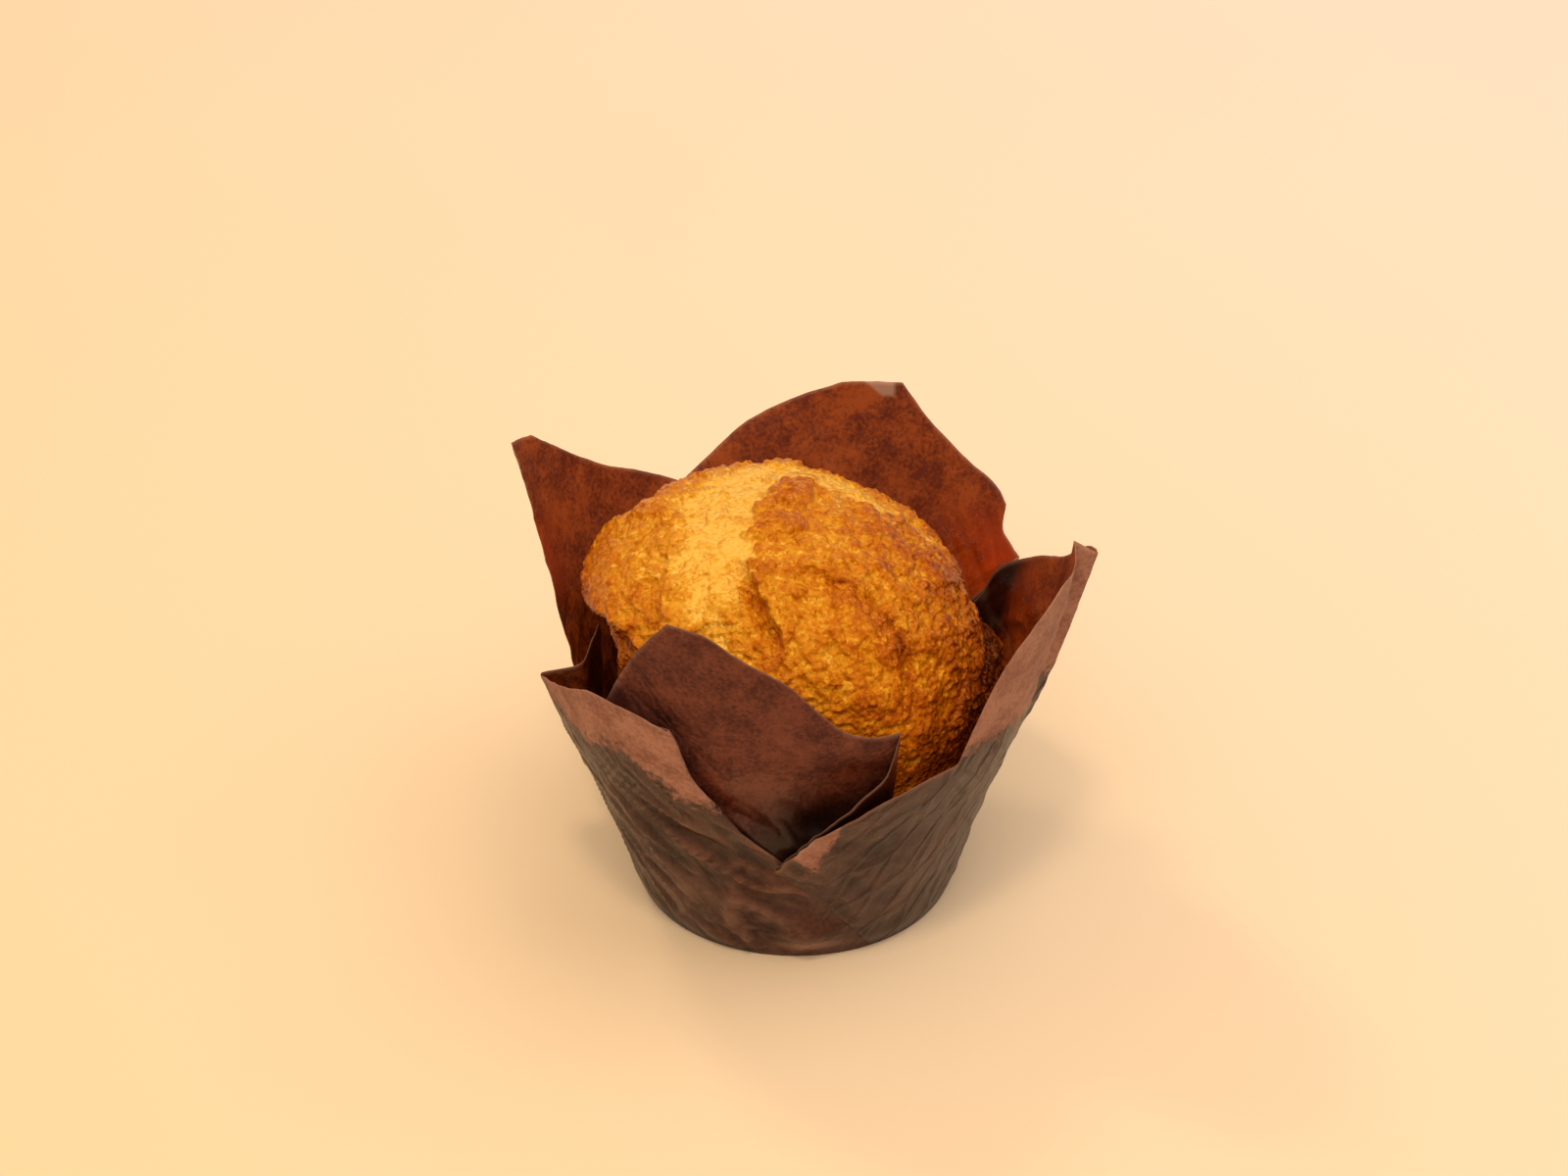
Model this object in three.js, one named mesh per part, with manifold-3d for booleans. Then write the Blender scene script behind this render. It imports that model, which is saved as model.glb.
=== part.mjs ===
// A muffin baked in a tulip cup that is pressed from one square of brown baking paper.
// Millimetres, +Z up. The origin is the middle of the cup's flat bottom; azimuths are
// measured in degrees from +X towards +Y.
import * as THREE from 'three';
import Module from 'manifold-3d';

const wasm = await Module();
wasm.setup();

// ---------------------------------------------------------------- driving dimensions
const FOOT_RADIUS = 26;          // flat bottom of the cup, 52 across
const PAPER = 0.45;              // paper drawn thicker than life so that it is a sound solid
const LAYER_PITCH = 0.85;        // radial step from one pleat layer to the next
const FOLD_LAP = 0.4;            // a sheet folded back starts this many layers off its neighbour
const LAYER_FULL_HEIGHT = 14;    // pleat layers lie flat together at the foot, apart from here
const FOOT_HEIGHT = 0.2;         // the wall starts inside the thickness of the bottom disc
const DISC_OVERLAP = 0.25;       // the bottom disc runs this far into the wall
const RIM_STEP = 3.4;            // spacing of wall columns along the rim
const WALL_ROWS = 10;            // wall rows between foot and rim
const WELD = 0.03;               // edges shorter than this are collapsed after joining
const CRUMB = 0.01;              // pockets and scraps under this volume are dropped

const CRUST_SEGMENTS = 72;       // muffin columns round the axis
const PROFILE_STEPS = 3;         // muffin rows between two profile points
const CAP_START = 41;            // height where the domed cap takes over from the body
const CAP_BLEND = 9;             // the cap's lumps fade in over this height
const CAP_RADIUS = 33.6;         // widest radius of the cap, before its lumps
const CAP_SHIFT = [-1.2, 0.6];   // the cap has risen a little off centre

// The rim of the pleated square, in order round the cup. Each station joins a point on
// the foot circle to a point on the rim. `layer` says how many sheets lie inside it,
// `corner` marks where the rim turns sharply, and `fold` where the sheet doubles back.
const RIM = [
  // right petal, outermost at the front fold and innermost at the rear one
  { foot: 297.5, at: 264.6, r: 34.8, z: 23.7, layer: 2, fold: true },
  { foot: 301, at: 272, r: 36.8, z: 30, layer: 2 },
  { foot: 307, at: 285, r: 39.1, z: 37.6, layer: 2 },
  { foot: 314, at: 297, r: 40.3, z: 41.5, layer: 1.8 },
  { foot: 320, at: 305.4, r: 40.1, z: 42.4, layer: 1.7, corner: true },
  { foot: 324, at: 308.8, r: 43.1, z: 53.4, layer: 1.5 },
  { foot: 329, at: 313, r: 44.7, z: 61, layer: 1.4 },
  { foot: 335, at: 320, r: 45.9, z: 66.5, layer: 1.2 },
  { foot: 341, at: 328, r: 46, z: 69.3, layer: 1.1 },
  { foot: 346, at: 339.5, r: 43.4, z: 70.2, layer: 1, corner: true },
  { foot: 350, at: 342.5, r: 46.8, z: 67.4, layer: 1, corner: true },
  { foot: 358, at: 356, r: 45, z: 62.5, layer: 0.6 },
  { foot: 366, at: 368, r: 43, z: 55.5, layer: 0.2 },
  { foot: 376, at: 383, r: 41.2, z: 49.5, layer: 0 },
  { foot: 384, at: 392, r: 40, z: 44.5, layer: 0 },
  { foot: 390, at: 397, r: 37.7, z: 37.2, layer: 0 },
  { foot: 396, at: 410, r: 35.5, z: 26, layer: 0, fold: true },
  // rear petal, outside its neighbours on both sides
  { foot: 398, at: 389.9, r: 41.4, z: 46.6, layer: 2, fold: true },
  { foot: 400, at: 393.6, r: 41.7, z: 47.4, layer: 2 },
  { foot: 402, at: 397.2, r: 42.1, z: 48.8, layer: 2 },
  { foot: 403.5, at: 398.1, r: 42.6, z: 50.6, layer: 2 },
  { foot: 405, at: 398.4, r: 43.3, z: 53.1, layer: 2, corner: true },
  { foot: 408.5, at: 402.9, r: 44, z: 55.2, layer: 2 },
  { foot: 412.5, at: 410, r: 44.4, z: 57, layer: 2 },
  { foot: 418, at: 420.4, r: 45.5, z: 61.8, layer: 2 },
  { foot: 426, at: 427.8, r: 46.7, z: 67.5, layer: 2, corner: true },
  { foot: 438, at: 440.3, r: 46.5, z: 66.5, layer: 2, corner: true },
  { foot: 448, at: 450.5, r: 45.9, z: 63.2, layer: 2 },
  { foot: 456, at: 460.2, r: 45, z: 59.6, layer: 2 },
  { foot: 464, at: 469.2, r: 43.8, z: 54.2, layer: 2 },
  { foot: 472, at: 488, r: 41.5, z: 44, layer: 2, fold: true },
  // left petal, with its long steep edge on the front side
  { foot: 474, at: 458, r: 37.5, z: 36, layer: 0, fold: true },
  { foot: 478, at: 467, r: 40, z: 46, layer: 0 },
  { foot: 484, at: 476.8, r: 41.9, z: 52.2, layer: 0 },
  { foot: 490, at: 487, r: 42.8, z: 56, layer: 0 },
  { foot: 496, at: 497.8, r: 43.7, z: 60, layer: 0 },
  { foot: 502, at: 511, r: 45.2, z: 67.2, layer: 0 },
  { foot: 507, at: 518, r: 45.9, z: 71.5, layer: 0, corner: true },
  { foot: 513, at: 526.5, r: 46.3, z: 73.3, layer: 0, corner: true },
  { foot: 519, at: 525.5, r: 45.3, z: 67.5, layer: 0 },
  { foot: 525, at: 525, r: 43.8, z: 60, layer: 0 },
  { foot: 532, at: 525.6, r: 41.4, z: 50.6, layer: 0 },
  { foot: 539, at: 527.2, r: 39.2, z: 42.6, layer: 0 },
  { foot: 545, at: 531, r: 36.8, z: 34.6, layer: 0, corner: true },
  // inner pleat tucked against the side of the muffin
  { foot: 546.5, at: 534, r: 31.6, z: 38, layer: 0 },
  { foot: 548, at: 541, r: 31.3, z: 46.5, layer: 0 },
  { foot: 549.5, at: 549, r: 32.8, z: 45.8, layer: 0 },
  { foot: 551, at: 555.5, r: 35, z: 44.6, layer: 0 },
  // left front panel, outermost, from the pleat to its own fold
  { foot: 553, at: 556, r: 40.6, z: 44.3, layer: 0.6, corner: true },
  { foot: 571, at: 572, r: 42, z: 49.5, layer: 1.2 },
  { foot: 588, at: 582.7, r: 43.5, z: 53.4, layer: 1.7 },
  { foot: 603, at: 590.3, r: 44, z: 55.4, layer: 2 },
  { foot: 624, at: 599, r: 43.8, z: 54.5, layer: 2 },
  { foot: 645, at: 605.5, r: 43.4, z: 52.8, layer: 2, fold: true },
  { foot: 646.5, at: 588.5, r: 42.8, z: 52, layer: 0, fold: true },
  // front petal, the innermost sheet
  { foot: 647.5, at: 593.4, r: 43.3, z: 58.4, layer: 0 },
  { foot: 648.5, at: 600.5, r: 45, z: 66.2, layer: 0 },
  { foot: 650, at: 606.5, r: 45.8, z: 71.6, layer: 0, corner: true },
  { foot: 651, at: 612.5, r: 45.7, z: 70.9, layer: 0 },
  { foot: 652, at: 619.6, r: 45.1, z: 66.9, layer: 0 },
  { foot: 653, at: 627.7, r: 44.3, z: 62.8, layer: 0 },
  { foot: 654, at: 634.6, r: 42.9, z: 56.7, layer: 0 },
  { foot: 655, at: 640.5, r: 41.9, z: 52.4, layer: 0 },
  { foot: 656, at: 647.4, r: 41.4, z: 50.8, layer: 0 },
  { foot: 656.6, at: 651.3, r: 41.5, z: 51, layer: 0, fold: true },
  // sheet folded back behind the right petal, its edge bowed down to that petal's rim
  { foot: 656.7, at: 649, r: 40.6, z: 43.3, layer: 0.64 },
  { foot: 656.9, at: 643, r: 39.3, z: 38.5, layer: 0.88 },
  { foot: 657.1, at: 637, r: 38, z: 33.7, layer: 1.12 },
  { foot: 657.3, at: 630.5, r: 36.4, z: 28.7, layer: 1.36 },
];

// Half section of the muffin from the bottom edge to the crown: radius, height.
const MUFFIN_PROFILE = [
  [25.3, 0.8], [27.9, 8], [31, 18], [33.1, 28], [33.9, 36], [34.1, 41], [34.1, 45.5],
  [33.6, 49.5], [32.1, 54.5], [28.8, 59.3], [23.6, 63.4], [16.5, 66.6], [8.2, 68.3], [0, 68.8],
];

// Broad swellings and hollows of the cap: centre azimuth, half width, radial growth.
const CAP_LUMPS = [[335, 40, 0.4], [15, 34, -3.8], [62, 28, -1.6], [161, 15, 2.3], [178, 55, -1.3]];
// Places where the cap has sunk: centre azimuth, half width, drop at the edge of the cap.
const CAP_SLUMPS = [[345, 50, 4.5], [50, 30, 1.5]];
// On the left the cap overhangs a neck.
const LEFT_NECK = { at: 195, width: 50, depth: 3, from: 28, full: 41, until: 47.5, over: 3.5 };
// the overhang's underside climbs towards the front
const UNDERSIDE = { at: 208, width: 22, rise: 4.5 };
// a shallower neck on the right
const RIGHT_NECK = { at: 18, width: 12, depth: 2.1, from: 32, full: 38, until: 44, gone: 50 };
// The body is pressed in where the inner pleat lies against it.
const PLEAT_DENT = { at: 178, width: 26, depth: 3.1, from: 6, full: 26, until: 46.5, gone: 50 };

const GOLDEN_CRUST = { color: 0xc97a1a, roughness: 0.55 };
const BAKING_PAPER = { color: 0x6b4232, roughness: 0.85 };

// ---------------------------------------------------------------- small helpers
const radians = (degrees) => (degrees * Math.PI) / 180;
const clamp01 = (value) => Math.min(1, Math.max(0, value));
const ramp = (value, low, high) => {
  const t = clamp01((value - low) / (high - low));
  return t * t * (3 - 2 * t);
};
const bell = (azimuth, centre, width) => {
  const apart = ((azimuth - centre + 540) % 360) - 180;
  return Math.exp(-((apart / width) ** 2));
};

/** Radius of the cup's wall at a height: flared, and straighter towards the rim. */
function wallRadius(z) {
  return FOOT_RADIUS + 0.295 * z + 0.0012 * z * z - 0.00002 * z ** 3;
}

/** Turns positions and triangle indices into a Manifold solid. */
function solidFrom(positions, triangles) {
  const mesh = new wasm.Mesh({
    numProp: 3,
    vertProperties: new Float32Array(positions),
    triVerts: new Uint32Array(triangles),
  });
  mesh.merge();
  return new wasm.Manifold(mesh);
}

/** Turns a Manifold solid into a named three.js mesh with its own material. */
function meshFrom(solid, name, finish) {
  const result = solid.getMesh();
  const geometry = new THREE.BufferGeometry();
  const positions = new Float32Array((result.vertProperties.length / result.numProp) * 3);
  for (let i = 0; i < positions.length / 3; i += 1) {
    for (let k = 0; k < 3; k += 1) {
      positions[3 * i + k] = result.vertProperties[result.numProp * i + k];
    }
  }
  geometry.setAttribute('position', new THREE.BufferAttribute(positions, 3));
  geometry.setIndex(new THREE.BufferAttribute(new Uint32Array(result.triVerts), 1));
  geometry.computeVertexNormals();
  const material = new THREE.MeshStandardMaterial({ ...finish, metalness: 0 });
  material.name = name;
  const mesh = new THREE.Mesh(geometry, material);
  mesh.name = name;
  return mesh;
}

/** Slopes of a curve through the values that never overshoots between them. */
function easySlopes(knots, values) {
  const last = knots.length - 1;
  const secant = (i) => (values[i + 1] - values[i]) / (knots[i + 1] - knots[i]);
  return values.map((_, i) => {
    if (i === 0) return secant(0);
    if (i === last) return secant(last - 1);
    const [a, b] = [secant(i - 1), secant(i)];
    return a * b <= 0 ? 0 : (2 * a * b) / (a + b);
  });
}

/** Value at x of the cubic pieces through knots, values and slopes. */
function cubicAt(knots, values, slopes, x) {
  let i = 0;
  while (i < knots.length - 2 && x > knots[i + 1]) i += 1;
  const h = knots[i + 1] - knots[i];
  const t = (x - knots[i]) / h;
  const [t2, t3] = [t * t, t * t * t];
  return values[i] * (2 * t3 - 3 * t2 + 1) + slopes[i] * h * (t3 - 2 * t2 + t)
    + values[i + 1] * (3 * t2 - 2 * t3) + slopes[i + 1] * h * (t3 - t2);
}

// ---------------------------------------------------------------- the paper cup
const rimPoint = ({ at, r, z }) =>
  new THREE.Vector3(r * Math.cos(radians(at)), r * Math.sin(radians(at)), z);

/** Stations spaced evenly along the rim between two sharp corners. */
function stationsBetween(run) {
  const knots = [0];
  for (let i = 1; i < run.length; i += 1) {
    knots.push(knots[i - 1] + rimPoint(run[i]).distanceTo(rimPoint(run[i - 1])));
  }
  const length = knots[knots.length - 1];
  const count = Math.max(2, Math.round(length / RIM_STEP));
  const curves = {};
  for (const key of ['foot', 'at', 'r', 'z', 'layer']) {
    const values = run.map((station) => station[key]);
    curves[key] = [values, easySlopes(knots, values)];
  }
  return Array.from({ length: count + 1 }, (_, i) => {
    const station = {};
    for (const [key, [values, slopes]] of Object.entries(curves)) {
      station[key] = cubicAt(knots, values, slopes, (length * i) / count);
    }
    return station;
  });
}

/** A point of the sheet's inner face, on the line from a station's foot to its rim. */
function sheetPoint(station, v) {
  const z = FOOT_HEIGHT + (station.z - FOOT_HEIGHT) * v;
  const azimuth = radians(station.foot + (station.at - station.foot) * v);
  const lean = (station.r - wallRadius(station.z)) * v * v;
  const spread = station.layer * LAYER_PITCH * clamp01(z / LAYER_FULL_HEIGHT);
  const radius = wallRadius(z) + lean + spread;
  return new THREE.Vector3(radius * Math.cos(azimuth), radius * Math.sin(azimuth), z);
}

/** Stations of one panel, from fold to fold, with its sharp corners kept. */
function panelStations(panel) {
  const stations = [];
  let start = 0;
  for (let i = 1; i < panel.length; i += 1) {
    if (panel[i].corner || i === panel.length - 1) {
      stations.push(...stationsBetween(panel.slice(start, i + 1)).slice(start ? 1 : 0));
      start = i;
    }
  }
  return stations;
}

/** The stations of a folded-back sheet, its ends kept clear of its neighbours' layers. */
function foldedBack(panel) {
  const [from, to] = [panel[0], panel[panel.length - 1]];
  const lap = FOLD_LAP * Math.sign(to.layer - from.layer);
  return [{ ...from, layer: from.layer + lap }, ...panel.slice(1, -1),
    { ...to, layer: to.layer - lap }];
}

/** One panel of wall, from fold to fold, as a closed sheet of paper. */
function wallPanel(panel) {
  const turnsBack = panel[panel.length - 1].at < panel[0].at;
  const stations = panelStations(turnsBack ? foldedBack(panel) : panel);
  const columns = stations.length;
  const rows = WALL_ROWS + 1;
  const inner = stations.map((station) =>
    Array.from({ length: rows }, (_, j) => sheetPoint(station, j / WALL_ROWS)));
  const within = (i, size) => Math.min(size - 1, Math.max(0, i));
  const outerPoint = (i, j) => {
    const along = inner[within(i + 1, columns)][j].clone().sub(inner[within(i - 1, columns)][j]);
    const upward = inner[i][within(j + 1, rows)].clone().sub(inner[i][within(j - 1, rows)]);
    const outward = along.cross(upward).normalize();
    return inner[i][j].clone().addScaledVector(outward, turnsBack ? -PAPER : PAPER);
  };
  const positions = [];
  for (const point of inner.flat()) positions.push(point.x, point.y, point.z);
  for (let i = 0; i < columns; i += 1) {
    for (let j = 0; j < rows; j += 1) positions.push(...outerPoint(i, j));
  }
  const index = (face, i, j) => (face * columns + i) * rows + j;
  const triangles = [];
  const quad = (a, b, c, d) =>
    triangles.push(...(turnsBack ? [a, c, b, a, d, c] : [a, b, c, a, c, d]));
  const [top, end] = [rows - 1, columns - 1];
  for (let i = 0; i < end; i += 1) {
    for (let j = 0; j < top; j += 1) {
      quad(index(1, i, j), index(1, i + 1, j), index(1, i + 1, j + 1), index(1, i, j + 1));
      quad(index(0, i, j), index(0, i, j + 1), index(0, i + 1, j + 1), index(0, i + 1, j));
    }
    quad(index(0, i, 0), index(0, i + 1, 0), index(1, i + 1, 0), index(1, i, 0));
    quad(index(1, i, top), index(1, i + 1, top), index(0, i + 1, top), index(0, i, top));
  }
  for (let j = 0; j < top; j += 1) {
    quad(index(0, 0, j), index(1, 0, j), index(1, 0, j + 1), index(0, 0, j + 1));
    quad(index(0, end, j), index(0, end, j + 1), index(1, end, j + 1), index(1, end, j));
  }
  return solidFrom(positions, triangles);
}

/** The flat bottom of the cup. */
function bottomDisc() {
  const disc = new THREE.CylinderGeometry(
    FOOT_RADIUS + DISC_OVERLAP, FOOT_RADIUS + DISC_OVERLAP, PAPER, 120);
  disc.rotateX(Math.PI / 2);
  disc.translate(0, 0, PAPER / 2);
  return solidFrom(disc.attributes.position.array, disc.index.array);
}

/** The whole cup: its bottom and every panel of wall, joined along the folds. */
function paperWrapper() {
  const closed = [...RIM, { ...RIM[0], foot: RIM[0].foot + 360, at: RIM[0].at + 360 }];
  let solid = bottomDisc();
  let start = 0;
  for (let i = 1; i < closed.length; i += 1) {
    if (closed[i].fold) {
      solid = solid.add(wallPanel(closed.slice(start, i + 1)));
      start = i;
    }
  }
  return wasm.Manifold.compose(
    solid.simplify(WELD).decompose().filter((piece) => piece.volume() > CRUMB));
}

// ---------------------------------------------------------------- the muffin
/** The muffin's half section as a smooth list of [radius, height]. */
function smoothProfile() {
  const curve = new THREE.CatmullRomCurve3(
    MUFFIN_PROFILE.map(([r, z]) => new THREE.Vector3(r, z, 0)), false, 'centripetal');
  const count = (MUFFIN_PROFILE.length - 1) * PROFILE_STEPS;
  return Array.from({ length: count + 1 }, (_, i) => {
    const point = curve.getPoint(i / count);
    return [Math.max(0, point.x), point.y];
  });
}

/** A point of the crust with the cap's lumps, slumps and the pleat's dent. */
function crustPoint(r, z, azimuth) {
  const cap = clamp01((z - CAP_START) / CAP_BLEND);
  const breadth = r / CAP_RADIUS;
  let growth = 0;
  for (const [centre, width, amount] of CAP_LUMPS) growth += amount * bell(azimuth, centre, width);
  let drop = 0;
  for (const [centre, width, amount] of CAP_SLUMPS) drop += amount * bell(azimuth, centre, width);
  const dent = PLEAT_DENT.depth * bell(azimuth, PLEAT_DENT.at, PLEAT_DENT.width)
    * ramp(z, PLEAT_DENT.from, PLEAT_DENT.full)
    * (1 - ramp(z, PLEAT_DENT.until, PLEAT_DENT.gone));
  const under = LEFT_NECK.until + UNDERSIDE.rise * bell(azimuth, UNDERSIDE.at, UNDERSIDE.width);
  const leftNeck = LEFT_NECK.depth * bell(azimuth, LEFT_NECK.at, LEFT_NECK.width)
    * ramp(z, LEFT_NECK.from, LEFT_NECK.full) * (1 - ramp(z, under, under + LEFT_NECK.over));
  const rightNeck = RIGHT_NECK.depth * bell(azimuth, RIGHT_NECK.at, RIGHT_NECK.width)
    * ramp(z, RIGHT_NECK.from, RIGHT_NECK.full)
    * (1 - ramp(z, RIGHT_NECK.until, RIGHT_NECK.gone));
  const radius = r + cap * growth * breadth - dent - leftNeck - rightNeck;
  const angle = radians(azimuth);
  return [
    radius * Math.cos(angle) + CAP_SHIFT[0] * cap,
    radius * Math.sin(angle) + CAP_SHIFT[1] * cap,
    z - cap * drop * breadth,
  ];
}

/** The muffin as one baked solid, closed at the bottom and at the crown. */
function muffinSolid() {
  const profile = smoothProfile();
  const rings = profile.length - 1;
  const positions = [0, 0, profile[0][1]];
  for (let j = 0; j < rings; j += 1) {
    for (let i = 0; i < CRUST_SEGMENTS; i += 1) {
      positions.push(...crustPoint(...profile[j], (360 * i) / CRUST_SEGMENTS));
    }
  }
  positions.push(...crustPoint(...profile[rings], 0));
  const crown = positions.length / 3 - 1;
  const index = (j, i) => 1 + j * CRUST_SEGMENTS + (i % CRUST_SEGMENTS);
  const triangles = [];
  for (let i = 0; i < CRUST_SEGMENTS; i += 1) {
    triangles.push(0, index(0, i + 1), index(0, i));
    for (let j = 0; j < rings - 1; j += 1) {
      triangles.push(index(j, i), index(j, i + 1), index(j + 1, i + 1));
      triangles.push(index(j, i), index(j + 1, i + 1), index(j + 1, i));
    }
    triangles.push(index(rings - 1, i), index(rings - 1, i + 1), crown);
  }
  return solidFrom(positions, triangles);
}

// ---------------------------------------------------------------- the assembly
const muffin = new THREE.Group();
muffin.name = 'muffin_in_wrapper';
muffin.add(meshFrom(muffinSolid(), 'muffin', GOLDEN_CRUST));
muffin.add(meshFrom(paperWrapper(), 'paper_wrapper', BAKING_PAPER));

export default muffin;
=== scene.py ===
"""Looks of a muffin in a tulip cup pressed from one square of brown baking paper.

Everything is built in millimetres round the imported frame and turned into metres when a
mesh is made. +Z is up, the origin is the middle of the cup's flat bottom, and azimuths are
degrees from +X towards +Y, so 270 faces the camera.
"""
import logging
from dataclasses import dataclass, field
from enum import Enum

import bpy
import numpy as np
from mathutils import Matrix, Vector


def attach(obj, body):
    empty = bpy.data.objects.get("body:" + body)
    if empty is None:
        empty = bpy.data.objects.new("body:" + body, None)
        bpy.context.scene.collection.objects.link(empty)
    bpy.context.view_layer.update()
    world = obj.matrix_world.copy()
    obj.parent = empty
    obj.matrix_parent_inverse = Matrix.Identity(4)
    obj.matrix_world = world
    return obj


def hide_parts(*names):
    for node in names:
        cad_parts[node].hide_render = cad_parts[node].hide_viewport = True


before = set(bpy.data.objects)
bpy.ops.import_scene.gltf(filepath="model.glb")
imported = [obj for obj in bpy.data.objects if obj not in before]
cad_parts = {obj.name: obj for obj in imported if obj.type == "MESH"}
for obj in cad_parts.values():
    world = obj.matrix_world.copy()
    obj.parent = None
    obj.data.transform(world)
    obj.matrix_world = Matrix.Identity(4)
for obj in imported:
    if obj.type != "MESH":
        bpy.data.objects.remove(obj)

LOG = logging.getLogger("muffin")
MILLIMETRE = 0.001
# rows of numbers, such as the corners of a path
Rows = tuple[tuple[float, ...], ...]


# ------------------------------------------------------------------ colour and numbers
def linear(code: str) -> tuple[float, float, float, float]:
    """Turns an sRGB hex colour into linear RGBA."""
    channels = [int(code[i:i + 2], 16) / 255 for i in (1, 3, 5)]
    return (*[c / 12.92 if c <= 0.04045 else ((c + 0.055) / 1.055) ** 2.4 for c in channels], 1.0)


def ramp(value: np.ndarray, low: float, high: float) -> np.ndarray:
    """Smooth step from 0 at low to 1 at high."""
    t = np.clip((value - low) / (high - low), 0.0, 1.0)
    return t * t * (3 - 2 * t)


def bell(azimuth: np.ndarray, centre: float, width: float) -> np.ndarray:
    """Bell curve over azimuth, in degrees, that closes round the circle."""
    apart = (azimuth - centre + 180) % 360 - 180
    return np.exp(-((apart / width) ** 2))


@dataclass
class SolidNoise:
    """Seeded gradient noise in space.

    Args:
        seed: Number that fixes the pattern.
    """

    seed: int
    order: np.ndarray = field(init=False)
    gradients: np.ndarray = field(init=False)

    def __post_init__(self) -> None:
        """Draws the shuffled order and the gradient directions once."""
        source = np.random.default_rng(self.seed)
        self.order = np.tile(source.permutation(256), 3)
        spread = source.normal(size=(256, 3))
        self.gradients = spread / np.linalg.norm(spread, axis=1, keepdims=True)

    def at(self, points: np.ndarray, size: float) -> np.ndarray:
        """Noise of about -1 to 1.

        Args:
            points: Positions in millimetres, with the three coordinates last.
            size: Width of one swelling in millimetres.

        Returns:
            One value for each point.
        """
        scaled = points / size + 97.3
        cell = np.floor(scaled).astype(int)
        inside = scaled - cell
        fade = inside ** 3 * (inside * (inside * 6 - 15) + 10)
        total = np.zeros(points.shape[:-1])
        for corner in np.ndindex(2, 2, 2):
            lattice = (cell + corner) & 255
            picked = self.order[self.order[self.order[lattice[..., 0]] + lattice[..., 1]]
                                + lattice[..., 2]]
            reach = np.einsum("...k,...k->...", self.gradients[picked], inside - corner)
            weight = np.prod(np.where(np.array(corner) == 1, fade, 1 - fade), axis=-1)
            total += weight * reach
        return total * 1.6

    def layered(self, points: np.ndarray, size: float, octaves: int) -> np.ndarray:
        """Sum of octaves, each half as wide and half as strong as the last."""
        return sum(self.at(points + 31.7 * k, size / 2 ** k) / 2 ** k for k in range(octaves))

    def creases(self, points: np.ndarray, size: float, sharpness: float) -> np.ndarray:
        """Thin lines of height 1 where the noise crosses zero, and 0 between them."""
        return np.clip(1 - np.abs(self.at(points, size)) * sharpness, 0, 1) ** 1.5


def beside_path(spots: np.ndarray, path: Rows) -> tuple[np.ndarray, np.ndarray]:
    """Where each spot lies beside a path of straight pieces, seen in plan.

    Args:
        spots: Spots in plan, in millimetres.
        path: Corners of the path.

    Returns:
        The distance to the path, and the distance to its right-hand side (left is negative).
    """
    nearest = np.full(spots.shape[:-1], np.inf)
    side = np.zeros(spots.shape[:-1])
    for start, end in zip(path[:-1], path[1:]):
        a, run = np.array(start), np.array(end) - np.array(start)
        along = np.clip(((spots - a) @ run) / (run @ run), 0, 1)
        away = spots - a - along[..., None] * run
        gap = np.linalg.norm(away, axis=-1)
        across = (away[..., 0] * run[1] - away[..., 1] * run[0]) / np.linalg.norm(run)
        closer = gap < nearest
        nearest, side = np.where(closer, gap, nearest), np.where(closer, across, side)
    return nearest, side


# ------------------------------------------------------------------ meshes
def make_object(name: str, points: np.ndarray, quads: np.ndarray,
                triangles: np.ndarray | None = None) -> bpy.types.Object:
    """Makes a smooth mesh object from positions in millimetres.

    Args:
        name: Name of the object and of its mesh.
        points: Positions, one row each.
        quads: Corner numbers of the four-sided faces.
        triangles: Corner numbers of the three-sided faces, if there are any.

    Returns:
        The object, linked to the scene.
    """
    triangles = np.zeros((0, 3), int) if triangles is None else triangles
    mesh = bpy.data.meshes.new(name)
    mesh.vertices.add(len(points))
    mesh.vertices.foreach_set("co", (points * MILLIMETRE).astype(np.float32).ravel())
    corners = np.concatenate([quads.ravel(), triangles.ravel()])
    starts = np.concatenate([np.arange(len(quads)) * 4,
                             len(quads) * 4 + np.arange(len(triangles)) * 3])
    mesh.loops.add(len(corners))
    mesh.loops.foreach_set("vertex_index", corners.astype(np.int32))
    mesh.polygons.add(len(starts))
    mesh.polygons.foreach_set("loop_start", starts.astype(np.int32))
    mesh.update(calc_edges=True)
    mesh.shade_smooth()
    piece = bpy.data.objects.new(name, mesh)
    bpy.context.scene.collection.objects.link(piece)
    return piece


def store(piece: bpy.types.Object, name: str, values: np.ndarray) -> None:
    """Keeps one number for each vertex under a name that the material reads."""
    layer = piece.data.attributes.new(name, "FLOAT", "POINT")
    layer.data.foreach_set("value", values.astype(np.float32).ravel())


# ------------------------------------------------------------------ finishes
# numbers of the colour mixing node's sockets
MIX_SHARE, MIX_FROM, MIX_TO, MIX_RESULT = 0, 6, 7, 2


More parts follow.
